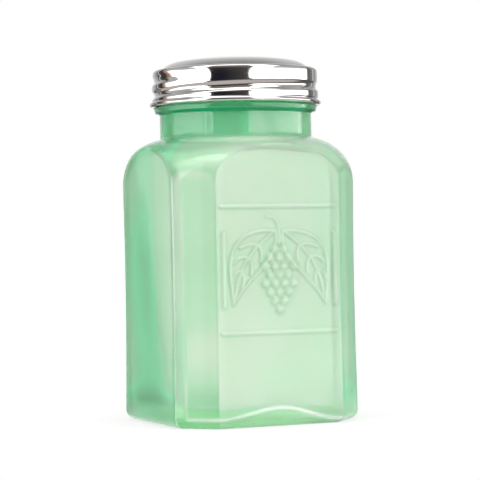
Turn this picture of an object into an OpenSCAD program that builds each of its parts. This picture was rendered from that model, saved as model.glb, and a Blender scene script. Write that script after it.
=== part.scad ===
// Square glass pepper shaker with cut corners and a perforated screw lid.
// Millimetres, +Z up. The origin is the middle of the foot, and the embossed face looks along -Y.

/* [Jar body] */
// Width across two opposite flat faces
body_side = 60.2; // [50:0.1:76]
// How far each corner is cut back along a flat face
corner_cut = 9.8; // [7:0.1:13]
// Height from the foot to the root of the neck
body_h = 86.8; // [60:0.2:130]
// Radius of the round shoulder
shoulder_r = 14.9; // [12:0.1:18]
// Radius of the rounded lower edge
heel_r = 3.2; // [1:0.1:4]
// Thickness of the glass wall
glass_wall = 3.8; // [2.5:0.1:5]
// Thickness of the glass floor
glass_floor = 5; // [4:0.1:10]
// Radius between the inner floor and the inner walls
inner_heel_r = 4; // [2:0.1:6]
// Diameter of the dished underside
dish_d = 42; // [20:0.5:46]
// Depth of the dished underside
dish_depth = 1.2; // [0.4:0.1:2]

/* [Neck] */
// Outer diameter of the neck
neck_d = 47; // [40:0.2:50]
// Diameter of the bore through the neck
bore_d = 38.6; // [30:0.2:39]
// Height of the plain neck, from its root to the support bead
neck_len = 7.6; // [4:0.1:15]
// Radius of the hollow where the neck meets the shoulder
neck_root_r = 0.8; // [0.3:0.1:2]
// How far the support bead stands out from the neck
bead_out = 1.8; // [1:0.1:2.2]
// Height of the support bead
bead_h = 2.2; // [1.5:0.1:4]
// How much the face of the support bead draws in towards its lower edge
bead_draft = 0.4; // [0:0.1:0.6]
// Height of the screw finish, from the support bead to the lip
finish_h = 10.3; // [9.4:0.1:16]
// Radius of the lip's two edges
lip_r = 1.1; // [0.4:0.1:1.4]

/* [Embossed face] */
// Height of the lower cross rib above the foot
low_rib_z = 28; // [18:0.2:30]
// Height of the upper cross rib above the foot
high_rib_z = 65.4; // [56:0.2:68]
// How far each cross rib stops short of the edges of the flat face
rib_margin = 1.2; // [0.8:0.1:4]
// Width of a cross rib
rib_w = 1.5; // [0.8:0.1:3]
// Distance between the two upright bars
bar_gap = 36.2; // [26:0.2:37]
// Length of an upright bar
bar_len = 23; // [10:0.2:25]
// Width of an upright bar
bar_w = 1.9; // [1:0.1:3]
// How far ribs and bars stand out from the face
relief_h = 0.4; // [0.2:0.05:0.7]

/* [Screw lid] */
// Thickness of the pressed steel sheet
lid_sheet = 0.5; // [0.3:0.05:0.7]
// Room between the neck and the inside of the lid's skirt, where the thread sits
thread_room = 1.5; // [1:0.05:2.2]
// Pitch of the screw thread
thread_pitch = 4.233; // [4:0.001:5]
// Depth of the rolled thread
thread_depth = 0.5; // [0.2:0.05:0.7]
// Width of one rolled groove
roll_w = 3.5; // [2:0.1:3.8]
// Height from the uppermost roll to the ledge
roll_drop = 4; // [3:0.1:5]
// Number of rolled grooves in the skirt
roll_count = 2; // [1:1:2]
// Radius of the corner between skirt and ledge
lid_corner_r = 1.1; // [0.8:0.1:2]
// Distance from the outside of the skirt to the outside of the dome's knuckle
dome_inset = 1.1; // [0.8:0.1:3]
// Height of the dome above the ledge
dome_h = 4.1; // [3:0.1:6]
// Radius of the dome's crown
crown_r = 102; // [80:1:160]
// Radius of the knuckle where the dome turns down
knuckle_r = 6.5; // [5:0.1:9]
// Radius of the curled rim
curl_r = 0.8; // [0.6:0.05:1]
// Gap between the curled rim and the support bead
rim_gap = 0.3; // [0.1:0.05:1]

/* [Shaker holes] */
// Diameter of one shaker hole
hole_d = 2.2; // [1:0.1:2.6]
// Distance between two rings of holes
hole_pitch = 4.1; // [3.6:0.1:5]
// Number of rings of holes around the middle one
hole_rings = 2; // [1:1:2]

/* [Sealing ring] */
// Thickness of the sealing ring
gasket_t = 0.7; // [0.4:0.05:1.5]
// Clearance between the sealing ring and the rolled thread around it
gasket_clear = 0.2; // [0.1:0.05:0.6]
// How far the sealing ring stands back from the bore
gasket_setback = 0.7; // [0.2:0.1:1.2]
// Gap between faces that seat on each other
seat_gap = 0.05; // [0.02:0.01:0.2]

/* [Hidden] */
$fn = 96;

// Plan of the body
half_side = body_side / 2;
flat_half = half_side - corner_cut;
facet_dist = (body_side - corner_cut) / sqrt(2);
vertex_r = norm([half_side, flat_half]);
face_angles = [0, 90];
facet_angles = [45, 135];
past = 1;

// Shoulder: an arc that starts just outside the corner edges and ends at the neck
vertex_clear = 0.1;
form_r = vertex_r + vertex_clear;
neck_r = neck_d / 2;
bore_r = bore_d / 2;
arc_x = form_r - shoulder_r;
arc_z = body_h - sqrt(pow(shoulder_r, 2) - pow(neck_r - arc_x, 2));
root_x = neck_r + neck_root_r;
root_z = arc_z + sqrt(pow(shoulder_r + neck_root_r, 2) - pow(root_x - arc_x, 2));

// Levels of the neck and the lid
bead_z = body_h + neck_len;
bead_top = bead_z + bead_h;
bead_r = neck_r + bead_out;
bead_face_z = bead_z + bead_h * 0.4;
lip_z = bead_top + finish_h;
gasket_z = lip_z + seat_gap;
ledge_under = gasket_z + gasket_t + seat_gap;
ledge_z = ledge_under + lid_sheet;
rim_z = bead_top + rim_gap;

// Lid in section
skirt_in_r = neck_r + thread_room;
skirt_r = skirt_in_r + lid_sheet;
roll_arc_r = (pow(roll_w / 2, 2) + pow(thread_depth, 2)) / (2 * thread_depth);
roll_x = skirt_r - thread_depth + roll_arc_r;
crown_z = ledge_z + dome_h - crown_r;
knuckle_x = skirt_r - dome_inset - knuckle_r;
knuckle_z = crown_z + sqrt(pow(crown_r - knuckle_r, 2) - pow(knuckle_x, 2));
curl_x = skirt_in_r + curl_r;

// Sealing ring in plan
gasket_out_r = skirt_in_r - thread_depth - gasket_clear;
gasket_in_r = bore_r + gasket_setback;

// Radius of a ridge with a given width and height
function ridge_r(w, h) = (pow(w / 2, 2) + h * h) / (2 * h);

// Upright bar that stands on z = 0 with its two lower corners rounded, laid across the part at one angle
module slab(w, h, r, angle) {
  rotate([90, 0, angle])
    linear_extrude(2 * body_side, center = true) {
      translate([-w / 2, r])
        square([w, h - r]);
      translate([-w / 2 + r, 0])
        square([w - 2 * r, h]);
      for (side = [-1, 1])
        translate([side * (w / 2 - r), r])
          circle(r);
    }
}

// Square bar with cut corners and a rounded lower edge, set in from the outside of the jar
module cut_corner_bar(inset, r, h) {
  intersection() {
    slab(2 * (half_side - inset), h, r, face_angles[0]);
    slab(2 * (half_side - inset), h, r, face_angles[1]);
    slab(2 * (facet_dist - inset), h, r, facet_angles[0]);
    slab(2 * (facet_dist - inset), h, r, facet_angles[1]);
  }
}

// Half section of the round form up to the shoulder, set in from the outside of the jar
module shoulder_section(inset) {
  translate([0, -past])
    square([form_r - inset, arc_z + past]);
  square([arc_x, arc_z + shoulder_r - inset]);
  intersection() {
    translate([arc_x, arc_z])
      circle(shoulder_r - inset);
    translate([0, arc_z])
      square(form_r);
  }
}

// Hollow between neck and shoulder
module neck_root_section() {
  difference() {
    translate([neck_r - past, arc_z])
      square([neck_root_r + past, root_z - arc_z]);
    translate([root_x, root_z])
      circle(neck_root_r);
  }
}

// Neck with its support bead and rounded lip
module neck_section() {
  square([neck_r, lip_z - lip_r]);
  square([neck_r - lip_r, lip_z]);
  translate([neck_r - lip_r, lip_z - lip_r])
    circle(lip_r);
  polygon([
    [bore_r, bead_z],
    [neck_r, bead_z],
    [bead_r - bead_draft, bead_face_z],
    [bead_r, bead_top],
    [bore_r, bead_top]
  ]);
}

// Bore through the neck, opening out over the rounded lip
module bore_section() {
  square([bore_r, lip_z + past]);
  difference() {
    translate([0, lip_z - lip_r])
      square([bore_r + lip_r, lip_r + past]);
    translate([bore_r + lip_r, lip_z - lip_r])
      circle(lip_r);
  }
}

module jar_outside() {
  intersection() {
    cut_corner_bar(0, heel_r, lip_z + past);
    rotate_extrude() {
      shoulder_section(0);
      neck_root_section();
      neck_section();
    }
  }
}

module jar_inside() {
  intersection() {
    translate([0, 0, glass_floor])
      cut_corner_bar(glass_wall, inner_heel_r, lip_z);
    rotate_extrude() {
      shoulder_section(glass_wall);
      bore_section();
    }
  }
}

// Shallow round hollow that leaves a ring to stand on
module foot_dish() {
  dish_r = ridge_r(dish_d, dish_depth);
  translate([0, 0, dish_depth - dish_r])
    sphere(dish_r);
}

// Half-round ridge on the front face, centred at x and z, with round ends
module face_ridge(x, z, len, w, upright) {
  r = ridge_r(w, relief_h);
  run = len - w;
  translate([x, -half_side - relief_h + r, z])
    rotate([0, upright ? 0 : 90, 0]) {
      cylinder(h = run, r = r, center = true);
      for (end = [-1, 1])
        translate([0, 0, end * run / 2])
          sphere(r);
    }
}

module face_relief() {
  for (z = [low_rib_z, high_rib_z])
    face_ridge(0, z, 2 * (flat_half - rib_margin), rib_w, false);
  for (side = [-1, 1])
    face_ridge(side * bar_gap / 2, (low_rib_z + high_rib_z) / 2, bar_len, bar_w, true);
}

module jar() {
  color([0.72, 0.91, 0.77])
    difference() {
      union() {
        jar_outside();
        face_relief();
      }
      jar_inside();
      foot_dish();
    }
}

// Half section of the lid filled in, set in from its outside by the sheet or by nothing
module lid_section(inset) {
  corner = lid_corner_r - inset;
  out_r = skirt_r - inset;
  top = ledge_z - inset;
  blend_x = (crown_r - inset) * knuckle_x / (crown_r - knuckle_r);
  translate([0, rim_z])
    square([out_r, top - corner - rim_z]);
  translate([0, rim_z])
    square([out_r - corner, top - rim_z]);
  translate([out_r - corner, top - corner])
    circle(corner);
  intersection() {
    translate([0, crown_z])
      circle(crown_r - inset, $fn = 360);
    union() {
      translate([0, rim_z])
        square([blend_x, 2 * dome_h + ledge_z - rim_z]);
      intersection() {
        translate([knuckle_x, knuckle_z])
          circle(knuckle_r - inset);
        translate([0, top - past])
          square([skirt_r, dome_h + past]);
      }
    }
  }
}

// Round bars that press the grooves into the skirt
module roll_section(r) {
  for (i = [0 : roll_count - 1])
    translate([roll_x, ledge_z - roll_drop - i * thread_pitch])
      circle(r);
}

module lid_wall_section() {
  difference() {
    lid_section(0);
    difference() {
      lid_section(lid_sheet);
      roll_section(roll_arc_r + lid_sheet);
    }
    translate([0, rim_z - past])
      square([skirt_in_r - thread_depth, curl_r + past]);
    roll_section(roll_arc_r);
  }
}

module curl_section() {
  translate([curl_x, rim_z + curl_r])
    circle(curl_r);
}

module shaker_holes() {
  for (ring = [0 : hole_rings])
    for (i = [0 : max(1, 6 * ring) - 1])
      rotate(i * 360 / max(1, 6 * ring))
        translate([ring * hole_pitch, 0, ledge_under])
          cylinder(h = dome_h + lid_sheet + past, d = hole_d);
}

module lid() {
  color([0.80, 0.80, 0.82])
    difference() {
      rotate_extrude() {
        lid_wall_section();
        curl_section();
      }
      shaker_holes();
    }
}

module rim_gasket() {
  color([0.93, 0.93, 0.90])
    translate([0, 0, gasket_z])
      difference() {
        cylinder(h = gasket_t, r = gasket_out_r);
        translate([0, 0, -past])
          cylinder(h = gasket_t + 2 * past, r = gasket_in_r);
      }
}

jar();
lid();
rim_gasket();
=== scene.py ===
import math

import bpy
import numpy as np
from mathutils import Matrix, Vector


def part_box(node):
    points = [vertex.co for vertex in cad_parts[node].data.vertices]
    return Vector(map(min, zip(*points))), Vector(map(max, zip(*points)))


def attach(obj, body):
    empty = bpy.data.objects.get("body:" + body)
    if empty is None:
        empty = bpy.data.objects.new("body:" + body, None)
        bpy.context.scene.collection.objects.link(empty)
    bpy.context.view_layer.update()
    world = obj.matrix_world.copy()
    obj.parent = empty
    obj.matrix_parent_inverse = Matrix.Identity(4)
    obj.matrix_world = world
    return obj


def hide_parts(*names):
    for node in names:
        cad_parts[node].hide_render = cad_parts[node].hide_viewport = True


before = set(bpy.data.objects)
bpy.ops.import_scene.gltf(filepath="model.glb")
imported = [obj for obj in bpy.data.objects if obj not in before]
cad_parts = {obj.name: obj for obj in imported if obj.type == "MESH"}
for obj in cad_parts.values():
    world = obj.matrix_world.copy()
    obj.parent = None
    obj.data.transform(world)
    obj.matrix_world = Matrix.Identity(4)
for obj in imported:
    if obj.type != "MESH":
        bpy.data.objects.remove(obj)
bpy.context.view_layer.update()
mm = 0.001
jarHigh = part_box("jar")[1] / mm
lidLow, lidHigh = (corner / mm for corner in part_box("lid"))
sealLow, sealHigh = (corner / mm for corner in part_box("rim_gasket"))
mixA, mixB, mixOut = 6, 7, 2  # the colour sockets of a Mix node


def hexColor(text):
    parts = [int(text[i:i + 2], 16) / 255 for i in (1, 3, 5)]
    return [p / 12.92 if p <= 0.04045 else ((p + 0.055) / 1.055) ** 2.4 for p in parts] + [1.0]


# adds a node with its values and links, its settings and the stops of a colour ramp, and gives one output
def addNode(tree, kind, inputs=(), out=0, stops=(), **settings):
    node = tree.nodes.new(kind)
    for key, value in settings.items():
        setattr(node, key, value)
    for key, value in dict(inputs).items():
        if isinstance(value, bpy.types.NodeSocket):
            tree.links.new(value, node.inputs[key])
        else:
            node.inputs[key].default_value = value
    for i, (position, color) in enumerate(stops):
        elements = node.color_ramp.elements
        element = elements[i] if i < 2 else elements.new(position)
        element.position = position
        element.color = color
    return node.outputs[out] if len(node.outputs) else node


# the empty node tree of a new material or world
def emptyTree(owner):
    owner.use_nodes = True
    owner.node_tree.nodes.clear()
    return owner.node_tree


def arc(cx, cz, r, start, end, count):
    angles = np.radians(np.linspace(start, end, count))
    return [(cx + r * math.cos(a), cz + r * math.sin(a)) for a in angles]


def smooth(t):
    t = np.clip(t, 0.0, 1.0)
    return t * t * (3 - 2 * t)


def bump(distance, halfWidth):
    u = np.clip(np.abs(distance) / halfWidth, 0.0, 1.0)
    return (1 - u * u) ** 2


# a row of points round the axis, with azimuth 0 at the front
def ringRow(phi, r, z):
    return np.stack([r * np.sin(phi), -r * np.cos(phi), np.broadcast_to(z, phi.shape)], -1)


def addObject(name, data):
    thing = bpy.data.objects.new(name, data)
    bpy.context.scene.collection.objects.link(thing)
    return thing


# rows of points in millimetres, joined to each other; the ends meet in a pole each, or else in each other
def latheObject(name, rows, firstPole=None, lastPole=None):
    grid = np.asarray(rows, float)
    count, around = grid.shape[:2]
    points = grid.reshape(-1, 3)
    index = np.arange(count * around).reshape(count, around)
    nextCol = np.roll(index, -1, axis=1)
    faces = np.stack([index[:-1], nextCol[:-1], nextCol[1:], index[1:]], -1).reshape(-1, 4).tolist()
    if firstPole is None:
        faces += np.stack([index[-1], nextCol[-1], nextCol[0], index[0]], -1).tolist()
    else:
        points = np.vstack([points, [firstPole, lastPole]])
        first, last = len(points) - 2, len(points) - 1
        faces += [[first, b, a] for a, b in zip(index[0], nextCol[0])]
        faces += [[a, b, last] for a, b in zip(index[-1], nextCol[-1])]
    mesh = bpy.data.meshes.new(name)
    mesh.from_pydata((points * mm).tolist(), [], faces)
    mesh.shade_smooth()
    mesh.update()
    return addObject(name, mesh)


def newTree(name, inputs):
    tree = bpy.data.node_groups.new(name, "GeometryNodeTree")
    tree.interface.new_socket("Geometry", in_out="INPUT", socket_type="NodeSocketGeometry")
    for label, kind in inputs.items():
        tree.interface.new_socket(label, in_out="INPUT", socket_type=kind)
    tree.interface.new_socket("Geometry", in_out="OUTPUT", socket_type="NodeSocketGeometry")
    return tree, addNode(tree, "NodeGroupInput").node.outputs


def endTree(tree, geometry, material):
    whole = addNode(tree, "GeometryNodeRealizeInstances", {"Geometry": geometry})
    dressed = addNode(tree, "GeometryNodeSetMaterial", {"Geometry": whole, "Material": material})
    addNode(tree, "NodeGroupOutput", {"Geometry": dressed})


# runs a node tree on a piece and keeps the result as its plain mesh
def bakeTree(piece, tree, values):
    modifier = piece.modifiers.new(tree.name, "NODES")
    modifier.node_group = tree
    for item in tree.interface.items_tree:
        if item.in_out == "INPUT" and item.name in values:
            modifier[item.identifier] = values[item.name]
    evaluated = piece.evaluated_get(bpy.context.evaluated_depsgraph_get())
    mesh = bpy.data.meshes.new_from_object(evaluated)
    piece.modifiers.clear()
    piece.data = mesh


# a cloudy pattern on Object coordinates, and the tint that it makes of two colours
def mottle(tree, sizeMm, detail, first, second):
    place = addNode(tree, "ShaderNodeTexCoord", out="Object")
    cloud = addNode(tree, "ShaderNodeTexNoise", {
        "Vector": place, "Scale": 1 / (sizeMm * mm), "Detail": detail}, "Fac")
    tint = addNode(tree, "ShaderNodeMix", {
        "Factor": cloud, mixA: hexColor(first), mixB: hexColor(second)}, mixOut, data_type="RGBA")
    return cloud, tint


# opal glass, pressed in a mould and fire-polished: a milky body that lets light through, under a wet gloss
def makeOpalGlass():
    look = {
        # colour against how much glass the light has to cross, and against the shade and highlights painted
        # on that scale
        "colors": (
            (0.0, "#FAFFF8"), (0.13, "#E9F0E5"), (0.21, "#C8E9CE"), (0.28, "#B6E2C2"), (0.36, "#9CF2C6"),
            (0.45, "#90D6AE"), (0.6, "#66B88C"), (0.7, "#58B888"), (0.82, "#7CF4B4"), (1.0, "#00DC94")),
        "cloudMm": 26.0, "cloudShare": 0.10, "waveMm": 11.0, "waveHeight": 0.015,
        # share of light let through: less where the palest edges, which are painted highlights, turn milky
        "clear": 0.72, "milky": 0.25, "milkyDepth": -0.12,
        # the milk bends light less than the glossy skin does, so the hollow shows softly
        "bodyIor": 1.12, "bodyRough": 0.3, "skinIor": 1.5, "skinRough": 0.03,
        "soakMm": 3.2, "soakReach": (0.75, 1.0, 0.85), "soakColor": "#B8FBCC", "soakPerMm": 0.046,
    }
    material = bpy.data.materials.new("opalGlass")
    tree = emptyTree(material)
    place = addNode(tree, "ShaderNodeTexCoord", out="Object")
    # the colour's depth from the jar's attribute, which also carries painted shade, highlights and
    # reflections
    depth = addNode(tree, "ShaderNodeAttribute", out="Fac", attribute_name="glassDepth")
    cloud = addNode(tree, "ShaderNodeTexNoise", {
        "Vector": place, "Scale": 1 / (look["cloudMm"] * mm), "Detail": 2.0}, "Fac")
    cloudy = addNode(tree, "ShaderNodeMath", {
        0: cloud, 1: look["cloudShare"], 2: depth}, operation="MULTIPLY_ADD")
    body = addNode(tree, "ShaderNodeValToRGB", {"Fac": cloudy}, stops=[
        (position, hexColor(color)) for position, color in look["colors"]])
    clear = addNode(tree, "ShaderNodeMapRange", {
        "Value": depth, "From Min": look["milkyDepth"], "From Max": 0.0,
        "To Min": look["milky"], "To Max": look["clear"]})
    wave = addNode(tree, "ShaderNodeTexNoise", {
        "Vector": place, "Scale": 1 / (look["waveMm"] * mm), "Detail": 1.0}, "Fac")
    ripple = addNode(tree, "ShaderNodeBump", {
        "Strength": look["waveHeight"], "Distance": mm, "Height": wave})
    glass = addNode(tree, "ShaderNodeBsdfPrincipled", {
        "Base Color": body, "Roughness": look["bodyRough"], "IOR": look["bodyIor"],
        "Transmission Weight": clear, "Subsurface Weight": 1.0, "Subsurface Radius": look["soakReach"],
        "Subsurface Scale": look["soakMm"] * mm, "Coat Weight": 1.0, "Coat Roughness": look["skinRough"],
        "Coat IOR": look["skinIor"], "Normal": ripple, "Coat Normal": ripple})
    soak = addNode(tree, "ShaderNodeVolumeAbsorption", {
        "Color": hexColor(look["soakColor"]), "Density": look["soakPerMm"] / mm})
    addNode(tree, "ShaderNodeOutputMaterial", {"Surface": glass, "Volume": soak})
    return material


# stainless steel sheet, pressed and buffed: a grey mirror, a little duller where it has been touched
def makePolishedSteel():
    look = {
        "steel": "#EAE8E6", "haze": "#DEDCDA", "smudgeMm": 9.0, "detail": 3.0,
        "smudge": (0.3, 0.7), "rough": (0.05, 0.10),
    }
    material = bpy.data.materials.new("polishedStainlessSteel")
    tree = emptyTree(material)
    smudge, tint = mottle(tree, look["smudgeMm"], look["detail"], look["steel"], look["haze"])
    rough = addNode(tree, "ShaderNodeMapRange", {
        "Value": smudge, "From Min": look["smudge"][0], "From Max": look["smudge"][1],
        "To Min": look["rough"][0], "To Max": look["rough"][1]})
    steel = addNode(tree, "ShaderNodeBsdfPrincipled", {
        "Base Color": tint, "Metallic": 1.0, "Roughness": rough})
    addNode(tree, "ShaderNodeOutputMaterial", {"Surface": steel})
    return material


# silicone, moulded and matt: off-white, slightly dusty
def makeSilicone():
    look = {"clean": "#ECEBE4", "dusty": "#DCDBD2", "dustMm": 2.5, "detail": 4.0, "rough": 0.55, "ior": 1.41}
    material = bpy.data.materials.new("whiteSilicone")
    tree = emptyTree(material)
    tint = mottle(tree, look["dustMm"], look["detail"], look["clean"], look["dusty"])[1]
    soft = addNode(tree, "ShaderNodeBsdfPrincipled", {
        "Base Color": tint, "Roughness": look["rough"], "IOR": look["ior"]})
    addNode(tree, "ShaderNodeOutputMaterial", {"Surface": soft})
    return material


opalGlass = makeOpalGlass()
polishedSteel = makePolishedSteel()
whiteSilicone = makeSilicone()
print("materials made")

# the screw thread that lid and jar share: a right-hand helix that starts high at the lid's left front
thread = {
    "pitch": 4.233, "top": 105.4, "start": -62.5, "fade": 22.0,
    "lidTurns": 1.55, "lidDepth": 0.48, "lidHalf": 1.7,
    "ridgeDrop": 2.45, "ridgeOut": 0.30, "ridgeHalf": 1.75, "ridgeEdge": 1.1,
    "glassTurns": 1.3, "glassHeight": 0.95, "glassHalf": 1.1,
}


# strength and height of the helix at each azimuth, for one turn after the other
def helixTurns(phi, turns):
    fade = math.radians(thread["fade"])
    along = np.mod(math.radians(thread["start"]) - phi, math.tau)
    for k in range(int(turns) + 1):
        travel = along + math.tau * k
        strength = smooth(travel / fade) * smooth((turns * math.tau - travel) / fade)
        yield strength, thread["top"] - thread["pitch"] * travel / math.tau


# the glass jar: eight flat sides and a revolved shoulder, softened where they meet
jar = {
    "halfSide": jarHigh.x, "cornerCut": 9.8, "edgeSharpness": 300.0, "heel": 3.2, "wall": 3.8,
    "floor": 5.0, "innerHeel": 4.0, "dishRadius": 21.0, "dishDepth": 1.2, "formClear": 0.1, "shoulder": 14.9,
    "neckRoot": 86.8, "neckRadius": 23.5, "rootFillet": 0.8, "boreRadius": 19.3, "boreRound": 1.5,
    "lipRound": 1.1,
    # the bead: its reach, then its section as a hollow by the neck, a lower round and an upper round
    "beadOut": 1.8, "beadHeight": 2.2, "rimGap": 0.3, "beadHollow": ((0.0, -0.15), (0.12, 0.08), (0.5, 0.35)),
    "beadRound": 0.6, "beadRoundIn": 0.25, "beadRoundUp": 1.0, "beadTopRound": 0.4, "beadLedge": 0.3,
    "neckEnd": 0.4, "finishStart": 0.2,
    # the sides sink a little at the waist
    "waist": 44.0, "sag": 0.015, "sagLevel": 0.25,
    # where the rows of points lie closer: just over the foot, and across the relief
    "waveTop": 9.0, "reliefLow": 25.0, "reliefHigh": 69.0, "reliefStep": 0.3,
    "footShares": (0.04, 0.12, 0.5, 0.9), "floorShares": (0.8, 0.55, 0.3, 0.1),
    # columns of points: over the front, another face, a facet beside the front, another facet
    "frontColumns": 121, "faceColumns": 21, "nearFacetColumns": 31, "facetColumns": 11,
}
faceHalf = jar["halfSide"] - jar["cornerCut"]  # half the width of a face
faceEdge = math.atan2(faceHalf, jar["halfSide"])  # azimuth of its edge
facetOut = (2 * jar["halfSide"] - jar["cornerCut"]) / math.sqrt(2)  # from the axis to a cut corner's facet
formRadius = math.hypot(jar["halfSide"], faceHalf) + jar["formClear"]  # the round form that ends the flats
shoulderX = formRadius - jar["shoulder"]  # centre of the shoulder's arc
shoulderZ = jar["neckRoot"] - math.sqrt(jar["shoulder"] ** 2 - (jar["neckRadius"] - shoulderX) ** 2)

# how deep the jar's colour is, on the scale of opalGlass's colours: deeper where the light crosses more
# glass, and painted deeper for shade or paler for highlights and reflections elsewhere
tone = {
    # painted: the sides deeper as shade, the crown's right paler as light, and the bead's foot deepest as
    # thick glass in the shade under the bead
    "face": 0.065, "side": 0.27, "facet": 0.03, "shoulder": 0.04, "crown": 0.04, "crownRight": -0.03,
    "neck": 0.37, "neckTurn": 0.42, "beadFoot": 1.0, "beadFootHeight": 0.7, "bead": 0.78, "finish": 0.2,
    "underside": 0.8,
    # height of the wavy band over the foot, and where on a facet the hollow's upright corner shows through
    "bandLow": 2.6, "bandWave": 2.8, "hollowAt": 3.1,
    # humps: how much deeper or paler, where the middle is, half the width; each is painted light, deeper for
    # shade and paler for a highlight, glow or reflection
    "faceMiddle": (-0.03, 0.0, 20.0), "frontEdge": (-0.05, 0.0, 3.0), "sideEdge": (0.09, 0.0, 1.4),
    "facetFrontEdge": (0.02, 0.0, 1.0), "facetSideEdge": (-0.22, 0.0, 1.0), "faceLine": (0.1, 0.0, 0.9),
    "pool": (0.09, 9.0, 4.4), "overPool": (-0.10, 22.0, 11.0), "hollowCornerLight": (-0.2, 0.0, 0.6),
    "faceBandLine": (-0.15, 0.3, 1.0), "facetBandLine": (-0.26, 0.3, 1.0),
    "sideMiddle": (0.05, 50.0, 30.0), "sideRim": (-0.25, 0.9, 0.6), "archLine": (0.07, 0.1, 0.5),
    # slopes: how much, where it starts, where it is full; 1.0 is a share of something else; the others are
    # painted light, deeper for shade and paler for light, except band and sideFoot, which deepen the colour
    # towards the foot, and bandRight, which lowers the band on the right
    "faceRight": (-0.04, 0.0, 16.0), "facetRight": (0.08, 0.0, 0.2), "facetEnd": (0.02, -2.5, -2.8),
    "bandRight": (-1.4, 0.0, 0.55), "band": (0.03, 0.0, -0.8), "bandLineEnd": (1.0, 0.3, -0.5),
    "hollowEdge": (1.0, 0.1, -0.3), "strip": (-0.08, 24.0, 44.0), "stripEdge": (1.0, 0.0, 0.5),
    "hollowCornerLightTop": (1.0, 17.0, 9.0), "hollowCornerLightFoot": (1.0, 2.2, 3.7), "faceLineFoot": (1.0, 26.0, 36.0),
    "sideRight": (-0.07, 2.0, 8.0), "sideRightFoot": (1.0, 14.0, 34.0), "sideLeft": (1.0, 6.0, -2.0),
    "sideTop": (-0.05, 45.0, 70.0), "sideFoot": (0.3, 14.0, 2.0), "facetTop": (-0.06, 0.0, 4.0),
    "roundEdge": (1.0, -0.105, 0.245), "shoulderFacet": (0.07, 0.35, 0.6), "shoulderSide": (0.24, 0.8, 1.0),
    "shoulderLeft": (0.10, -0.75, -0.95), "neckRight": (-0.13, 0.0, 0.3),
}


def hump(name, value):
    amount, middle, half = tone[name]
    return amount * bump(value - middle, half)


def slope(name, value):
    amount, start, full = tone[name]
    return amount * smooth((value - start) / (full - start))


# azimuths of the jar's columns: even over the front face, crowded towards the edges elsewhere
def jarColumns():
    half, quarter = jar["halfSide"], math.pi / 2

    def crowded(count, power):
        ends = np.linspace(-1, 1, count)
        return np.sign(ends) * (1 - (1 - np.abs(ends)) ** power)

    columns = [np.arctan2(np.linspace(-faceHalf, faceHalf, jar["frontColumns"]), half)]
    onFace = faceHalf * crowded(jar["faceColumns"], 2)
    columns += [np.arctan2(onFace, half) + k * quarter for k in (1, 2, 3)]
    for k in range(4):
        count = jar["nearFacetColumns" if k in (0, 3) else "facetColumns"]
        columns.append((quarter / 2 - faceEdge) * crowded(count, 1.6)[1:-1] + quarter / 2 + k * quarter)
    return np.sort(np.mod(np.concatenate(columns) + math.pi, math.tau) - math.pi)


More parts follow.
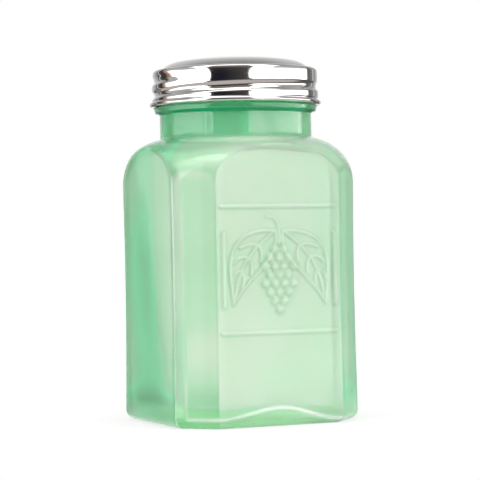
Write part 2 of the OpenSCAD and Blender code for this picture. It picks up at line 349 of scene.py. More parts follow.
# the colour's depth at each column, with its painted shade and highlights, on the sides and the shoulder as
# functions of the height
def depthsWithPaintedLight(phi):
    sinPhi, cosPhi = np.sin(phi), np.cos(phi)
    offFront = np.abs(sinPhi)
    eighth = math.pi / 4
    fold = np.mod(phi + eighth, 2 * eighth) - eighth  # azimuth from the middle of the nearest face
    acrossFace = jar["halfSide"] * np.tan(fold)
    toCorner = np.abs(np.abs(fold) - faceEdge) * facetOut
    toSide = facetOut * np.tan(np.arcsin(offFront) - eighth)  # along a facet, from its middle to the side
    byHollow = toSide - tone["hollowAt"]
    onFlat = np.abs(fold) < faceEdge
    nearSide = offFront > 0.7  # nearer to a side than to the front or the back
    onFacet = np.where(onFlat, 0.0, 1.0)
    onSide = np.where(onFlat & nearSide, 1.0, 0.0)
    onFace = 1 - onFacet - onSide  # the front and the back
    # the sides painted deeper as shade, and a painted glow in the middle of the front and back
    wall = tone["face"] + tone["side"] * sinPhi ** 4 + hump("faceMiddle", acrossFace) * cosPhi ** 2
    # painted light along the edges: paler by the front's edges and the facets' side edges, deeper by the
    # sides' edges and on the right facets, paler to the face's right
    wall = wall + onFace * (hump("frontEdge", toCorner) + slope("faceRight", acrossFace))
    wall = wall + onSide * hump("sideEdge", toCorner)
    facetEdge = np.where(nearSide, hump("facetSideEdge", toCorner), hump("facetFrontEdge", toCorner))
    facetEnd = tone["facet"] + slope("facetEnd", toSide)
    wall = wall + onFacet * (facetEdge + facetEnd + slope("facetRight", sinPhi))
    wave = np.cos(np.clip(acrossFace / faceHalf, -1, 1) * math.pi / 2) ** 2
    bandTop = tone["bandLow"] + tone["bandWave"] * wave + slope("bandRight", sinPhi)

    def sideDepth(z):
        overBand = z - bandTop
        # painted lines and patches: a dark line by the corners, a pale highlight along the band's top, a
        # shade and a reflection over the hollow's corner, a pale strip and a pale line where that corner
        # shows through; on the sides paler to the right, at the rim and at the top, deeper in the middle on
        # one half
        face = hump("faceLine", toCorner) * slope("faceLineFoot", z)
        face = face + slope("band", overBand) + hump("faceBandLine", overBand)
        facet = slope("hollowEdge", byHollow) * (hump("pool", z) + hump("overPool", z))
        facet = facet + slope("stripEdge", byHollow) * slope("strip", z)
        facet = facet + hump("hollowCornerLight", byHollow) * slope("hollowCornerLightTop", z) * slope("hollowCornerLightFoot", z)
        bandLine = slope("bandLineEnd", byHollow) * hump("facetBandLine", overBand)
        facet = facet + slope("band", overBand) + bandLine
        side = slope("sideRight", acrossFace) * slope("sideRightFoot", z) + slope("sideFoot", z)
        side = side + slope("sideLeft", acrossFace) * hump("sideMiddle", z) + hump("sideRim", z)
        return wall + onFace * face + onFacet * facet + onSide * side + sinPhi ** 4 * slope("sideTop", z)

    # inward is how far the round form has left the flats behind
    def shoulderDepth(z, rise, inward):
        onRound = slope("roundEdge", inward)
        panel = sideDepth(shoulderZ) + onFacet * slope("facetTop", z - shoulderZ)
        # the shoulder painted deeper towards the facets, the sides and the left as shade, paler on the
        # crown's right as light, with a painted dark line along the arch
        crown = tone["crown"] + tone["crownRight"] * sinPhi
        roundForm = tone["shoulder"] + slope("shoulderFacet", offFront) + slope("shoulderSide", offFront)
        roundForm = roundForm + slope("shoulderLeft", sinPhi) + crown * rise
        return panel * (1 - onRound) + roundForm * onRound + hump("archLine", inward)

    # the neck painted paler to its right, as light
    neckDepth = tone["neck"] + slope("neckRight", np.sin(phi + tone["neckTurn"]))
    return sideDepth, shoulderDepth, neckDepth


def makeJar():
    wall, heel, shoulder, fillet = jar["wall"], jar["heel"], jar["shoulder"], jar["rootFillet"]
    neckR, boreR, lipZ, lipR = jar["neckRadius"], jar["boreRadius"], jarHigh.z, jar["lipRound"]
    beadTop = lidLow.z - jar["rimGap"]
    beadZ, beadR = beadTop - jar["beadHeight"], neckR + jar["beadOut"]
    noForm = 1e4  # a radius that cuts nothing
    phi = jarColumns()
    sideDepth, shoulderDepth, neckDepth = depthsWithPaintedLight(phi)
    rows, depths = [], []

    # reach of the outline: the nearest of the eight flats and the round form, rolled where they meet
    def softPlan(radius, inset):
        least, sharpness = 0.1, jar["edgeSharpness"]
        reaches = []
        for k in range(8):
            out = jar["halfSide"] if k % 2 == 0 else facetOut
            facing = np.cos(phi - k * math.pi / 4)
            reaches.append(np.where(facing > least, (out - inset) / np.maximum(facing, least), noForm))
        reaches.append(np.full_like(phi, radius))
        nearest = np.min(reaches, axis=0)
        total = sum((nearest / reach) ** sharpness for reach in reaches)
        return nearest * total ** (-1 / sharpness)

    def sunk(z):
        return 1 + jar["sag"] * (((z - jar["waist"]) / jar["waist"]) ** 2 - jar["sagLevel"])

    def addRow(r, z, depth=0.0):
        rows.append(ringRow(phi, r, z))
        depths.append(np.broadcast_to(depth, phi.shape))

    # the dished underside, the rounded heel and the walls
    dishR = jar["dishRadius"]
    for t in np.linspace(0, 1, 11)[1:]:
        addRow(dishR * t, jar["dishDepth"] * (1 - t * t), tone["underside"])
    foot = softPlan(noForm, heel) * sunk(0)
    for t in jar["footShares"]:
        addRow(dishR + (foot - dishR) * t, 0.0, tone["underside"])
    for a in np.radians(np.linspace(0, 90, 10)):
        z = heel * (1 - math.cos(a))
        addRow(softPlan(noForm, heel * (1 - math.sin(a))) * sunk(z), z, sideDepth(z))
    wallZ = np.concatenate([
        np.linspace(heel, jar["waveTop"], 18)[1:], np.linspace(jar["waveTop"], jar["reliefLow"], 7)[1:],
        np.arange(jar["reliefLow"], jar["reliefHigh"], jar["reliefStep"])[1:],
        np.linspace(jar["reliefHigh"], shoulderZ, 4)])
    for z in wallZ:
        addRow(softPlan(formRadius, 0) * sunk(z), z, sideDepth(z))

    # the shoulder and the neck, with a fillet between them
    flatPlan = softPlan(noForm, 0)
    rootX = neckR + fillet
    rootZ = shoulderZ + math.sqrt((shoulder + fillet) ** 2 - (rootX - shoulderX) ** 2)
    rootAngle = math.degrees(math.acos((rootX - shoulderX) / (shoulder + fillet)))
    for r, z in arc(shoulderX, shoulderZ, shoulder, 0, rootAngle, 44)[1:]:
        rise = smooth((z - shoulderZ) / shoulder)
        plan = softPlan(r, 0) * (1 + (sunk(shoulderZ) - 1) * (1 - rise))
        addRow(plan, z, shoulderDepth(z, rise, flatPlan - r))
    for r, z in arc(rootX, rootZ, fillet, 180 + rootAngle, 180, 6)[1:]:
        addRow(r, z, neckDepth)
    for z in np.linspace(rootZ, beadZ - jar["neckEnd"], 7)[1:]:
        addRow(neckR, z, neckDepth)

    # the bead, the finish with its thread, and the lip
    lowRound, topRound = jar["beadRound"], jar["beadTopRound"]
    beadLine = [(neckR + out, beadZ + up) for out, up in jar["beadHollow"]]
    beadLine += arc(beadR - lowRound - jar["beadRoundIn"], beadZ + jar["beadRoundUp"], lowRound, -60, 10, 7)
    beadLine += arc(beadR - topRound, beadTop - topRound, topRound, 10, 90, 6)
    beadLine += [(neckR + jar["beadLedge"], beadTop)]
    # the bead's foot painted deepest, as thick glass in the shade under the bead
    for r, z in beadLine:
        addRow(r, z, tone["beadFoot"] if z < beadZ + tone["beadFootHeight"] else tone["bead"])
    for z in np.linspace(beadTop + jar["finishStart"], lipZ - lipR, 34):
        r = neckR
        for strength, height in helixTurns(phi, thread["glassTurns"]):
            crest = height + thread["pitch"] / 2
            r = r + thread["glassHeight"] * strength * bump(z - crest, thread["glassHalf"])
        addRow(r, z, tone["finish"])
    lip = arc(neckR - lipR, lipZ - lipR, lipR, 0, 90, 7)[1:]
    lip += arc(boreR + lipR, lipZ - lipR, lipR, 90, 180, 7)
    for r, z in lip:
        addRow(r, z, tone["finish"])

    # the bore and the hollow, down to its floor
    boreRound, innerShoulder = jar["boreRound"], shoulder - wall
    roundZ = shoulderZ + innerShoulder + boreRound
    innerLine = [(boreR, z) for z in np.linspace(lipZ - lipR, roundZ, 5)[1:]]
    innerLine += arc(boreR + boreRound, roundZ, boreRound, 180, 262, 5)[1:]
    innerLine += arc(shoulderX, shoulderZ, innerShoulder, 88, 0, 18)
    for r, z in innerLine:
        addRow(softPlan(r, wall), z)
    floorZ, innerHeel = jar["floor"], jar["innerHeel"]
    for z in np.linspace(shoulderZ, floorZ + innerHeel, 6)[1:]:
        addRow(softPlan(formRadius - wall, wall), z)
    for a in np.radians(np.linspace(90, 0, 9))[1:]:
        addRow(softPlan(noForm, wall + innerHeel * (1 - math.sin(a))), floorZ + innerHeel * (1 - math.cos(a)))
    floorPlan = softPlan(noForm, wall + innerHeel)
    for t in jar["floorShares"]:
        addRow(floorPlan * t, floorZ)

    piece = latheObject("glassJar", rows, (0, 0, jar["dishDepth"]), (0, 0, floorZ))
    attribute = piece.data.attributes.new("glassDepth", "FLOAT", "POINT")
    values = np.concatenate([*depths, [tone["underside"], 0.0]])
    attribute.data.foreach_set("value", values.astype(np.float32))
    return piece


# moulded relief on the front face: two cross ribs, two upright bars and a sprig of pepper berries
relief = {
    # each mark's painted light on its crest: paler as a highlight, or deeper as shade on the bars
    "lowRib": 28.0, "highRib": 65.4, "ribReach": 18.6, "ribWidth": 1.5, "ribHeight": 0.4, "ribPaintedLight": 0.06,
    "barX": 18.1, "barLength": 21.0, "barWidth": 1.9, "barHeight": 0.4, "barPaintedLight": -0.03,
    "lineWidth": 1.2, "lineHeight": 0.48, "linePaintedLight": 0.06, "lineCrown": 1.6,
    "berryWidth": 2.9, "berryHeight": 0.6, "berryPaintedLight": 0.06, "berryCrown": 0.8,
    "spikeTop": 52.6, "rowStep": 2.55, "rowCounts": (2, 3, 4, 3, 4, 3, 2, 1), "berryStep": 3.0,
    "leafBase": (1.4, 58.0), "leafTip": (15.0, 36.5), "leafWidth": 5.6, "leafBend": 3.2, "leafBelly": 0.8,
    "leafFull": 1.15, "leafTaper": 0.45, "midribEnd": 0.92,
    "veins": (0.26, 0.45, 0.63), "veinReach": 0.72, "veinSlant": 0.14,
    "stem": ((0.0, 54.4), (0.0, 58.0), (-0.5, 60.4), (-1.8, 62.0), (-3.8, 62.4)),
    # painted shade: a deeper contour round each line, from and to these shares of its half width
    "contourShade": 0.06, "contourInner": (0.4, 1.0), "contourOuter": (2.0, 1.1),
    "skin": 0.3,  # the points this close to the front face are the ones that rise
}


def leafLines(side):
    base, tip = np.array(relief["leafBase"]), np.array(relief["leafTip"])
    along = tip - base
    across = np.array([along[1], -along[0]]) / np.linalg.norm(along)

    def onLeaf(t, share):
        bend = relief["leafBend"] * math.sin(math.pi * t)
        belly = math.sin(math.pi * t ** relief["leafBelly"])
        width = relief["leafWidth"] * belly * (relief["leafFull"] - relief["leafTaper"] * t)
        x, z = base + along * t - across * (bend + share * width)
        return side * x, z

    lines = [[onLeaf(t, share) for t in np.linspace(0, 1, 29)] for share in (-1, 1)]
    lines.append([onLeaf(t, 0) for t in np.linspace(0, relief["midribEnd"], 15)])
    for t in relief["veins"]:
        for share in (-relief["veinReach"], relief["veinReach"]):
            lines.append([onLeaf(t + relief["veinSlant"] * u * u, share * u) for u in np.linspace(0, 1, 7)])
    return lines


def berrySpots():
    spots = []
    for row, count in enumerate(relief["rowCounts"]):
        z = relief["spikeTop"] - row * relief["rowStep"]
        spots += [((i - (count - 1) / 2) * relief["berryStep"], z) for i in range(count)]
    return spots


# a mesh of lines or points on the front face, for the relief to follow
def guideObject(name, lines):
    points, edges = [], []
    for line in lines:
        start = len(points)
        points += [(x * mm, -jar["halfSide"] * mm, z * mm) for x, z in line]
        edges += [(start + i, start + i + 1) for i in range(len(line) - 1)]
    mesh = bpy.data.meshes.new(name)
    mesh.from_pydata(points, edges, [])
    return addObject(name, mesh)


# raises the front face along a guide, paints the raised glass paler as a highlight, or deeper as shade where
# the amount is below zero, and paints a shade as a deeper contour round it
def makeReliefTree():
    sizes = ("Width", "Height", "Crown", "Face", "PaintedLight", "ContourShade")
    tree, given = newTree("raisedRelief", {
        "Guide": "NodeSocketObject", "Dots": "NodeSocketBool", **{size: "NodeSocketFloat" for size in sizes}})
    place = addNode(tree, "GeometryNodeInputPosition")
    part = addNode(tree, "ShaderNodeSeparateXYZ", {0: place}).node.outputs
    flat = addNode(tree, "ShaderNodeCombineXYZ", {0: part[0], 1: given["Face"], 2: part[2]})
    guide = addNode(tree, "GeometryNodeObjectInfo", {"Object": given["Guide"]}, "Geometry")
    toLine, toDot = (
        addNode(tree, "GeometryNodeProximity", {0: guide, "Sample Position": flat}, "Distance",
                target_element=element) for element in ("EDGES", "POINTS"))
    gap = addNode(tree, "GeometryNodeSwitch", {
        "Switch": given["Dots"], "False": toLine, "True": toDot}, input_type="FLOAT")
    half = addNode(tree, "ShaderNodeMath", {0: given["Width"], 1: 0.5}, operation="MULTIPLY")
    reach = addNode(tree, "ShaderNodeMath", {0: gap, 1: half}, operation="DIVIDE")
    fall = addNode(tree, "ShaderNodeMath", {0: reach, 1: reach}, operation="MULTIPLY", use_clamp=True)
    rise = addNode(tree, "ShaderNodeMath", {0: 1.0, 1: fall}, operation="SUBTRACT")
    crown = addNode(tree, "ShaderNodeMath", {0: rise, 1: given["Crown"]}, operation="POWER")
    lift = addNode(tree, "ShaderNodeMath", {0: crown, 1: given["Height"]}, operation="MULTIPLY")
    outward = addNode(tree, "ShaderNodeMath", {0: lift, 1: -1.0}, operation="MULTIPLY")
    shift = addNode(tree, "ShaderNodeCombineXYZ", {1: outward})
    behind = addNode(tree, "ShaderNodeMath", {0: part[1], 1: given["Face"]}, operation="SUBTRACT")
    onSkin = addNode(tree, "FunctionNodeCompare", {
        "A": behind, "B": relief["skin"] * mm}, data_type="FLOAT", operation="LESS_THAN")
    moved = addNode(tree, "GeometryNodeSetPosition", {
        "Geometry": given["Geometry"], "Selection": onSkin, "Offset": shift})
    inner, outer = (
        addNode(tree, "ShaderNodeMapRange", {
            "Value": reach, "From Min": relief[edge][0], "From Max": relief[edge][1]},
            interpolation_type="SMOOTHSTEP") for edge in ("contourInner", "contourOuter"))
    contourShade = addNode(tree, "ShaderNodeMath", {0: outer, 1: inner}, operation="MULTIPLY")
    depth = addNode(tree, "GeometryNodeInputNamedAttribute", {"Name": "glassDepth"}, data_type="FLOAT")
    # a painted highlight on the crest, and a painted shade in the contour round the line
    crownLight = addNode(tree, "ShaderNodeMath", {0: crown, 1: given["PaintedLight"]}, operation="MULTIPLY")
    pale = addNode(tree, "ShaderNodeMath", {0: depth, 1: crownLight}, operation="SUBTRACT")
    edged = addNode(tree, "ShaderNodeMath", {
        0: contourShade, 1: given["ContourShade"], 2: pale}, operation="MULTIPLY_ADD")
    stored = addNode(tree, "GeometryNodeStoreNamedAttribute", {
        "Geometry": moved, "Selection": onSkin, "Name": "glassDepth", "Value": edged},
        data_type="FLOAT", domain="POINT")
    endTree(tree, stored, opalGlass)
    return tree


def addRelief(piece):
    tree = makeReliefTree()
    lowRib, highRib, ribReach = relief["lowRib"], relief["highRib"], relief["ribReach"]
    middle, halfBar = (lowRib + highRib) / 2, relief["barLength"] / 2
    ribs = [[(-ribReach, z), (ribReach, z)] for z in (lowRib, highRib)]
    bars = [[(x, middle - halfBar), (x, middle + halfBar)] for x in (-relief["barX"], relief["barX"])]
    sprig = leafLines(-1) + leafLines(1) + [relief["stem"]]
    berries = [[spot] for spot in berrySpots()]
    for kind, lines in (("rib", ribs), ("bar", bars), ("line", sprig), ("berry", berries)):
        dots = kind == "berry"
        guide = guideObject(kind + "Guide", lines)
        bakeTree(piece, tree, {
            "Guide": guide, "Dots": dots, "Face": -jar["halfSide"] * mm, "ContourShade": relief["contourShade"],
            "Width": relief[kind + "Width"] * mm, "Height": relief[kind + "Height"] * mm,
            "PaintedLight": relief[kind + "PaintedLight"], "Crown": relief["berryCrown" if dots else "lineCrown"]})
        bpy.data.objects.remove(guide)
    piece.data.shade_smooth()


glassJar = makeJar()
addRelief(glassJar)
print("jar made:", len(glassJar.data.polygons), "faces")

# the screw lid: one sheet of steel with a dome, a ledge, a rolled skirt and a curled rim
lid = {
    "sheet": 0.5, "skirt": 25.5, "corner": 1.1, "around": 256, "sharpFrom": 35.0,
    "columnTurn": 0.0073,  # so that no corner of a hole falls on a column
    "crown": 102.0, "crownStart": 89.2, "knuckle": 6.5, "domeInset": 1.1, "domeHeight": 4.1,
    # where the dome runs out into the ledge
    "footRise": 0.35, "footBend": (0.14, 0.12), "footReach": 0.4, "ledgeEnd": 0.2,
    "bulge": 0.03, "bulgeAt": 105.25, "bulgeHalf": 1.95, "rollFade": 0.6,
    "flareTop": 98.6, "flareFoot": 0.4, "flareIn": 0.05, "flarePower": 1.5, "innerFlare": 0.6,
    "curl": 0.72, "curlAngles": (40, -160), "outerEnd": 0.55, "innerEnd": 0.3,
    "holeDiameter": 2.2, "holePitch": 4.1, "holeRings": 2, "drillDepth": 4.0, "drillSides": 40,
}


# section of the dome, the ledge and the corner, for the outer skin or the inner one
def lidSection(inset):
    skirt, corner, knuckle = lid["skirt"] - inset, lid["corner"] - inset, lid["knuckle"] - inset
    ledge = lidHigh.z - lid["domeHeight"] - inset
    crownZ = lidHigh.z - lid["crown"]
    knuckleX = lid["skirt"] - lid["domeInset"] - lid["knuckle"]
    knuckleZ = crownZ + math.sqrt((lid["crown"] - lid["knuckle"]) ** 2 - knuckleX ** 2)
    tangent = math.degrees(math.atan2(knuckleZ - crownZ, knuckleX))
    footAngle = math.degrees(math.asin((ledge + lid["footRise"] - knuckleZ) / knuckle))
    footX = knuckleX + knuckle * math.cos(math.radians(footAngle))
    bendX, bendZ = lid["footBend"]
    section = arc(0, crownZ, lid["crown"] - inset, lid["crownStart"], tangent, 40)
    section += arc(knuckleX, knuckleZ, knuckle, tangent, footAngle, 16)[1:]
    section += [(footX + bendX, ledge + bendZ), (footX + lid["footReach"], ledge)]
    section += [(skirt - corner - lid["ledgeEnd"], ledge)]
    return section + arc(skirt - corner, ledge - corner, corner, 90, 0, 12)


def makeLid():
    phi = np.linspace(-math.pi, math.pi, lid["around"], endpoint=False) + lid["columnTurn"]
    curl, sheet, skirt = lid["curl"], lid["sheet"], lid["skirt"]
    curlX, curlZ = lidHigh.x - curl, lidLow.z + curl
    outer, inner = lidSection(0), lidSection(sheet)

    # the rolled thread: a groove with a ridge below it, which fades out at the curl
    def rolled(z):
        offset = np.zeros_like(phi)
        for strength, height in helixTurns(phi, thread["lidTurns"]):
            offset = offset - thread["lidDepth"] * strength * bump(z - height, thread["lidHalf"])
            inRidge = thread["ridgeHalf"] - np.abs(z - height + thread["ridgeDrop"])
            offset = offset + thread["ridgeOut"] * strength * smooth(inRidge / thread["ridgeEdge"])
        return offset * smooth((z - curlZ) / lid["rollFade"])

    def barrel(z):
        return lid["bulge"] * max(0.0, 1 - ((z - lid["bulgeAt"]) / lid["bulgeHalf"]) ** 2)

    def flare(z):
        span = lid["flareTop"] - curlZ - lid["flareFoot"]
        return (curlX - lid["flareIn"] - skirt) * smooth((lid["flareTop"] - z) / span) ** lid["flarePower"]

    rows = [ringRow(phi, r, z) for r, z in outer]
    for z in np.linspace(outer[-1][1], curlZ + lid["outerEnd"], 56)[1:]:
        rows.append(ringRow(phi, skirt + barrel(z) + rolled(z) + flare(z), z))
    rows += [ringRow(phi, r, z) for r, z in arc(curlX, curlZ, curl, *lid["curlAngles"], 18)]
    for z in np.linspace(curlZ + lid["innerEnd"], inner[-1][1], 50):
        rows.append(ringRow(phi, skirt - sheet + rolled(z) + lid["innerFlare"] * flare(z), z))
    rows += [ringRow(phi, r, z) for r, z in reversed(inner[:-1])]
    return latheObject("screwLid", rows[::-1], (0, 0, lidHigh.z - sheet), (0, 0, lidHigh.z))


# one hole in the middle and a ring of six more at each step out, drilled through the dome
def makeHolesTree():
    sizes = ("Pitch", "Diameter", "Top", "Depth")
    tree, given = newTree("shakerHoles", {size: "NodeSocketFloat" for size in sizes})
    radius = addNode(tree, "ShaderNodeMath", {0: given["Diameter"], 1: 0.5}, operation="MULTIPLY")
    drill = addNode(tree, "GeometryNodeMeshCylinder", {
        "Vertices": lid["drillSides"], "Radius": radius, "Depth": given["Depth"]}, "Mesh")
    rings = addNode(tree, "GeometryNodeJoinGeometry")
    for ring in range(lid["holeRings"], 0, -1):
        reach = addNode(tree, "ShaderNodeMath", {
            0: given["Pitch"], 1: float(ring)}, operation="MULTIPLY")
        circle = addNode(tree, "GeometryNodeMeshCircle", {"Vertices": 6 * ring, "Radius": reach})
        tree.links.new(circle, rings.node.inputs[0])
    spots = addNode(tree, "GeometryNodeJoinGeometry")
    aroundIt = addNode(tree, "GeometryNodeMeshToPoints", {"Mesh": rings})
    middle = addNode(tree, "GeometryNodePoints", {"Count": 1})
    for points in (aroundIt, middle):
        tree.links.new(points, spots.node.inputs[0])
    drills = addNode(tree, "GeometryNodeInstanceOnPoints", {"Points": spots, "Instance": drill})
    height = addNode(tree, "ShaderNodeCombineXYZ", {2: given["Top"]})
    raised = addNode(tree, "GeometryNodeTransform", {"Geometry": drills, "Translation": height})
    cutter = addNode(tree, "GeometryNodeRealizeInstances", {"Geometry": raised})
    pierced = addNode(tree, "GeometryNodeMeshBoolean", {
        0: given["Geometry"], 1: cutter}, operation="DIFFERENCE", solver="EXACT")
    endTree(tree, pierced, polishedSteel)
    return tree


screwLid = makeLid()
bakeTree(screwLid, makeHolesTree(), {
    "Pitch": lid["holePitch"] * mm, "Diameter": lid["holeDiameter"] * mm,
    "Top": lidHigh.z * mm, "Depth": lid["drillDepth"] * mm})
screwLid.data.shade_smooth()
screwLid.data.set_sharp_from_angle(angle=math.radians(lid["sharpFrom"]))
print("lid made:", len(screwLid.data.polygons), "faces")

# the sealing ring that lies on the jar's lip
seal = {"inner": 20.0, "round": 0.22, "around": 160}


def makeSeal():
    phi = np.linspace(-math.pi, math.pi, seal["around"], endpoint=False)
    r = seal["round"]
    inX, outX, lowZ, highZ = seal["inner"] + r, sealHigh.x - r, sealLow.z + r, sealHigh.z - r
    corners = ((outX, lowZ, -90), (outX, highZ, 0), (inX, highZ, 90), (inX, lowZ, 180))
    outline = [point for x, z, start in corners for point in arc(x, z, r, start, start + 90, 5)]
    return latheObject("sealingRing", [ringRow(phi, x, z) for x, z in outline])


sealingRing = makeSeal()
print("seal made")

for piece, body, node, slot, material in (
        (glassJar, "jar", "jar", "opal_glass", opalGlass),
        (screwLid, "lid", "lid", "polished_steel", polishedSteel),
        (sealingRing, "seal", "rim_gasket", "white_silicone", whiteSilicone)):
    piece.data.materials.clear()
    piece.data.materials.append(material)
    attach(piece, body)
    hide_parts(node)
print("pieces set on their bodies")

# the photograph's view, level with the middle of the shaker
shot = {
    "turn": 23.83, "roll": 1.05, "distance": 606.0, "height": 55.5, "aside": 0.70,
    "focalPx": 1952.0, "framePx": 480.0, "sensor": 36.0, "clip": (0.01, 50.0),
}


def makeCamera():
    turn = math.radians(shot["turn"])
    toCamera = Vector((-math.sin(turn), -math.cos(turn), 0))
    right = Vector((math.cos(turn), -math.sin(turn), 0))
    data = bpy.data.cameras.new("photoView")
    data.sensor_width = shot["sensor"]
    data.lens = shot["focalPx"] / shot["framePx"] * shot["sensor"]
    data.clip_start, data.clip_end = shot["clip"]
    camera = addObject("photoView", data)
    centre = Vector((0, 0, shot["height"])) * mm
    camera.location = centre + toCamera * shot["distance"] * mm
    aim = centre + right * shot["aside"] * mm - camera.location
    level = aim.to_track_quat("-Z", "Y").to_matrix().to_4x4()
    rolled = level @ Matrix.Rotation(math.radians(-shot["roll"]), 4, "Z")
    camera.rotation_euler = rolled.to_euler()
    bpy.context.scene.camera = camera


# a white studio with tall soft panels beside the camera and a dark gap round it, which the steel mirrors
def makeWorld():
    studio = {
        # azimuth from the camera, positive to its right, and the brightness and tint there
        "walls": (
            (-180, 1.0), (-142, 0.38), (-138, 0.12), (-128, 0.1), (-126, 0.05), (-119, 0.04),
            (-116.5, 0.5, "#D09C7C"), (-109, 0.8, "#D8B49C"), (-106, 1.6), (-70, 3.0), (-52, 3.4), (-48, 1.1),
            (-41.5, 1.1), (-40, 2.8), (20, 2.8), (28, 3.4), (42, 3.4), (46, 2.35), (58, 2.4), (66, 3.4),
            (104, 3.4), (119, 2.0), (122, 0.12), (146, 0.3), (180, 1.0)),
        # crisp upright panels: first and last azimuth, softness of the edges, how they lean, brightness
        "panels": (
            (-134.94, -133.0, 0.12, 9.0, 0.95), (-50.0, -43.31, 0.05, 0.0, 2.1),
            (-46.5, -44.16, 0.05, 0.0, 5.0), (108.5, 114.5, 0.3, 0.0, 4.5), (139.4, 142.6, 0.3, 0.0, 0.8)),
        # the dark gap, narrowest at the level of the lid, with its tints
        "gapAt": -7.0, "gapHalf": 25.5, "gapSoft": 1.5, "gapLevel": 0.073, "gapSpread": 1200.0,
        "gapFlare": 0.005, "gapTurns": -8.0,
        "gapLeft": "#22222A", "gapRight": "#4A4746", "gapAbove": "#8A807A",
        # how far the direction leans to the camera's side, and the brightness of the ceiling there
        "ceiling": (
            (-1.0, 0.85), (-0.75, 0.66), (-0.3, 0.42), (0.0, 0.3), (0.17, 0.32), (0.2, 2.6), (0.6, 2.6),
            (0.8, 1.2), (0.95, 0.8), (1.0, 0.8)),
        "sideCeiling": 0.5, "ground": "#C6BEBA", "skirting": 0.12, "aheadGain": 0.3, "behindRise": 0.6,
        # where each zone starts and where it is full, as parts of the direction
        "ahead": (-0.55, -0.4), "beside": (0.7, 0.85), "belowTop": (0.9, 0.75), "overWalls": (0.12, 0.4),
        "overSides": (0.1, 0.15), "atSkirting": (-0.1, -0.17), "offLeft": (-0.75, -0.4),
        "atGround": (-0.34, -0.44),
    }
    world = bpy.data.worlds.new("studio")
    bpy.context.scene.world = world
    tree = emptyTree(world)
    peak = max(stop[1] for stop in studio["walls"])

    def shade(strength, tint="#FFFFFF"):
        return [channel * strength / peak for channel in hexColor(tint)[:3]] + [1.0]

    way = addNode(tree, "ShaderNodeTexCoord", out="Generated")
    turned = addNode(tree, "ShaderNodeMapping", {
        "Vector": way, "Rotation": (0, 0, math.radians(shot["turn"]))}, vector_type="POINT")
    part = addNode(tree, "ShaderNodeSeparateXYZ", {0: turned}).node.outputs
    rightward, level = part[0], part[2]
    cameraward = addNode(tree, "ShaderNodeMath", {0: part[1], 1: -1.0}, operation="MULTIPLY")
    aside = addNode(tree, "ShaderNodeMath", {0: rightward}, operation="ABSOLUTE")
    azimuth = addNode(tree, "ShaderNodeMath", {0: rightward, 1: cameraward}, operation="ARCTAN2")
    degrees = addNode(tree, "ShaderNodeMath", {0: azimuth}, operation="DEGREES")
    zone = {}
    for name, value in (("ahead", cameraward), ("beside", aside), ("belowTop", level),
                        ("overSides", level), ("atSkirting", level), ("atGround", level)):
        zone[name] = addNode(tree, "ShaderNodeMapRange", {
            "Value": value, "From Min": studio[name][0], "From Max": studio[name][1]},
            interpolation_type="SMOOTHSTEP")

    # the walls, and the panels in front of them
    around = addNode(tree, "ShaderNodeMapRange", {
        "Value": degrees, "From Min": -180.0, "From Max": 180.0})
    sky = addNode(tree, "ShaderNodeValToRGB", {"Fac": around}, stops=[
        ((angle + 180) / 360, shade(*look)) for angle, *look in studio["walls"]])
    for first, last, soft, lean, strength in studio["panels"]:
        leant = addNode(tree, "ShaderNodeMath", {
            0: level, 1: lean, 2: degrees}, operation="MULTIPLY_ADD")
        rise, fall = (
            addNode(tree, "ShaderNodeMapRange", {
                "Value": leant, "From Min": start, "From Max": full},
                interpolation_type="SMOOTHSTEP")
            for start, full in ((first - soft, first + soft), (last + soft, last - soft)))
        inside = addNode(tree, "ShaderNodeMath", {0: rise, 1: fall}, operation="MULTIPLY")
        sky = addNode(tree, "ShaderNodeMix", {
            "Factor": inside, mixA: sky, mixB: shade(strength)}, mixOut, data_type="RGBA")

    # the walls end lower on the camera's side, and reach higher behind the object
    gain = addNode(tree, "ShaderNodeMath", {
        0: zone["ahead"], 1: studio["aheadGain"], 2: 1.0}, operation="MULTIPLY_ADD")
    raised = addNode(tree, "ShaderNodeMath", {0: level, 1: gain}, operation="MULTIPLY")
    rise = studio["behindRise"]
    behind = addNode(tree, "ShaderNodeMath", {
        0: zone["ahead"], 1: -rise, 2: rise}, operation="MULTIPLY_ADD")
    lowered = addNode(tree, "ShaderNodeMath", {0: aside, 1: behind}, operation="MULTIPLY")
    lift = addNode(tree, "ShaderNodeMath", {0: raised, 1: lowered}, operation="SUBTRACT")
    overWalls = addNode(tree, "ShaderNodeMapRange", {
        "Value": lift, "From Min": studio["overWalls"][0], "From Max": studio["overWalls"][1]},
        interpolation_type="SMOOTHSTEP")
    beside = addNode(tree, "ShaderNodeMath", {
        0: zone["beside"], 1: zone["ahead"]}, operation="MULTIPLY")
    overSides = addNode(tree, "ShaderNodeMath", {0: zone["overSides"], 1: beside}, operation="MULTIPLY")
    high = addNode(tree, "ShaderNodeMath", {0: overWalls, 1: overSides}, operation="MAXIMUM")
    lean = addNode(tree, "ShaderNodeMapRange", {"Value": cameraward, "From Min": -1.0, "From Max": 1.0})
    ceiling = addNode(tree, "ShaderNodeValToRGB", {"Fac": lean}, stops=[
        ((place + 1) / 2, shade(strength)) for place, strength in studio["ceiling"]])
    ceiling = addNode(tree, "ShaderNodeMix", {
        "Factor": beside, mixA: ceiling, mixB: shade(studio["sideCeiling"])},
        mixOut, data_type="RGBA")

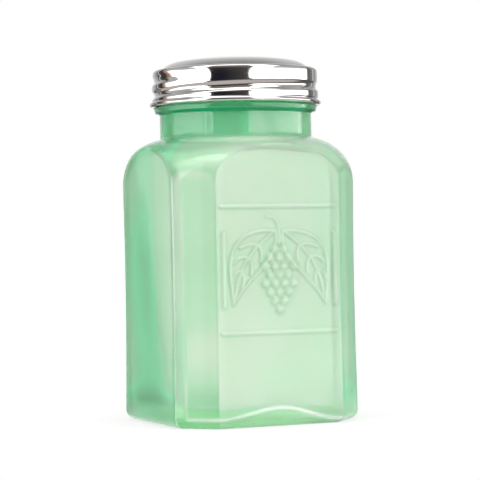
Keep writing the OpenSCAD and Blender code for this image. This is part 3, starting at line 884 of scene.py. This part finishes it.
    # the gap: its width grows above and below the lid's level
    fromGap = addNode(tree, "ShaderNodeMath", {0: degrees, 1: studio["gapAt"]}, operation="SUBTRACT")
    toGap = addNode(tree, "ShaderNodeMath", {0: fromGap}, operation="ABSOLUTE")
    offLevel = addNode(tree, "ShaderNodeMath", {0: level, 1: studio["gapLevel"]}, operation="SUBTRACT")
    spread = addNode(tree, "ShaderNodeMath", {0: offLevel, 1: offLevel}, operation="MULTIPLY")
    flared = addNode(tree, "ShaderNodeMath", {0: spread, 1: studio["gapFlare"]}, operation="MINIMUM")
    toEdge = addNode(tree, "ShaderNodeMath", {
        0: flared, 1: -studio["gapSpread"], 2: toGap}, operation="MULTIPLY_ADD")
    nearGap = addNode(tree, "ShaderNodeMapRange", {
        "Value": toEdge, "From Min": studio["gapHalf"] + studio["gapSoft"], "From Max": studio["gapHalf"]},
        interpolation_type="SMOOTHSTEP")
    inGap = addNode(tree, "ShaderNodeMath", {0: nearGap, 1: zone["belowTop"]}, operation="MULTIPLY")
    gapSide = addNode(tree, "ShaderNodeMapRange", {
        "Value": fromGap, "From Min": studio["gapTurns"], "From Max": studio["gapHalf"]})
    gapTone = addNode(tree, "ShaderNodeMix", {
        "Factor": gapSide, mixA: shade(1.0, studio["gapLeft"]), mixB: shade(1.0, studio["gapRight"])},
        mixOut, data_type="RGBA")
    gapTone = addNode(tree, "ShaderNodeMix", {
        "Factor": high, mixA: gapTone, mixB: shade(1.0, studio["gapAbove"])},
        mixOut, data_type="RGBA")

    # a dark skirting all round but on the left, and the ground
    offLeft = addNode(tree, "ShaderNodeMapRange", {
        "Value": rightward, "From Min": studio["offLeft"][0], "From Max": studio["offLeft"][1]})
    skirted = addNode(tree, "ShaderNodeMath", {0: zone["atSkirting"], 1: offLeft}, operation="MULTIPLY")
    for factor, color in ((high, ceiling), (inGap, gapTone), (skirted, shade(studio["skirting"])),
                          (zone["atGround"], shade(1.0, studio["ground"]))):
        sky = addNode(tree, "ShaderNodeMix", {
            "Factor": factor, mixA: sky, mixB: color}, mixOut, data_type="RGBA")
    light = addNode(tree, "ShaderNodeBackground", {"Color": sky, "Strength": peak})
    white = addNode(tree, "ShaderNodeBackground", {"Color": (1, 1, 1, 1), "Strength": 1.0})
    path = addNode(tree, "ShaderNodeLightPath").node.outputs
    ray = addNode(tree, "ShaderNodeMath", {
        0: path["Is Camera Ray"], 1: path["Is Transmission Ray"]}, operation="MAXIMUM")
    shown = addNode(tree, "ShaderNodeMixShader", {0: ray, 1: light, 2: white})
    addNode(tree, "ShaderNodeOutputWorld", {"Surface": shown})


# a broad lamp overhead that lights the shoulders and throws the foot's shadow
def makeTopLamp():
    lamp = {"watts": 7.5, "size": 0.6, "height": 0.9}
    data = bpy.data.lights.new("topLamp", "AREA")
    data.energy, data.size = lamp["watts"], lamp["size"]
    top = addObject("topLamp", data)
    top.location = (0, 0, lamp["height"])
    top.visible_glossy = False


# a pale round floor, painted matt, that fades into the white background
def makeFloor():
    ground = {"color": "#DEDEDC", "radius": 0.16, "fadeFrom": 0.05, "around": 96, "glow": 0.75}
    mesh = bpy.data.meshes.new("floor")
    angles = np.linspace(0, math.tau, ground["around"], endpoint=False)
    rim = [(ground["radius"] * math.cos(a), ground["radius"] * math.sin(a), 0) for a in angles]
    mesh.from_pydata(rim, [], [list(range(ground["around"]))])
    floor = addObject("floor", mesh)
    material = bpy.data.materials.new("paleFloor")
    tree = emptyTree(material)
    matt = addNode(tree, "ShaderNodeBsdfDiffuse", {"Color": hexColor(ground["color"])})
    glow = addNode(tree, "ShaderNodeEmission", {"Color": (1, 1, 1, 1), "Strength": 1.0})
    path = addNode(tree, "ShaderNodeLightPath").node.outputs
    seen = addNode(tree, "ShaderNodeMath", {
        0: path["Is Camera Ray"], 1: path["Is Glossy Ray"]}, operation="MAXIMUM")
    amount = addNode(tree, "ShaderNodeMath", {0: seen, 1: ground["glow"]}, operation="MULTIPLY")
    pale = addNode(tree, "ShaderNodeMixShader", {0: amount, 1: matt, 2: glow})
    place = addNode(tree, "ShaderNodeTexCoord", out="Object")
    reach = addNode(tree, "ShaderNodeVectorMath", {0: place}, "Value", operation="LENGTH")
    fade = addNode(tree, "ShaderNodeMapRange", {
        "Value": reach, "From Min": ground["fadeFrom"], "From Max": ground["radius"]},
        interpolation_type="SMOOTHSTEP")
    clear = addNode(tree, "ShaderNodeBsdfTransparent")
    shown = addNode(tree, "ShaderNodeMixShader", {0: fade, 1: pale, 2: clear})
    addNode(tree, "ShaderNodeOutputMaterial", {"Surface": shown})
    mesh.materials.append(material)


makeCamera()
makeWorld()
makeTopLamp()
makeFloor()
bpy.context.scene.view_settings.view_transform = "Standard"
print("camera, light and floor set")
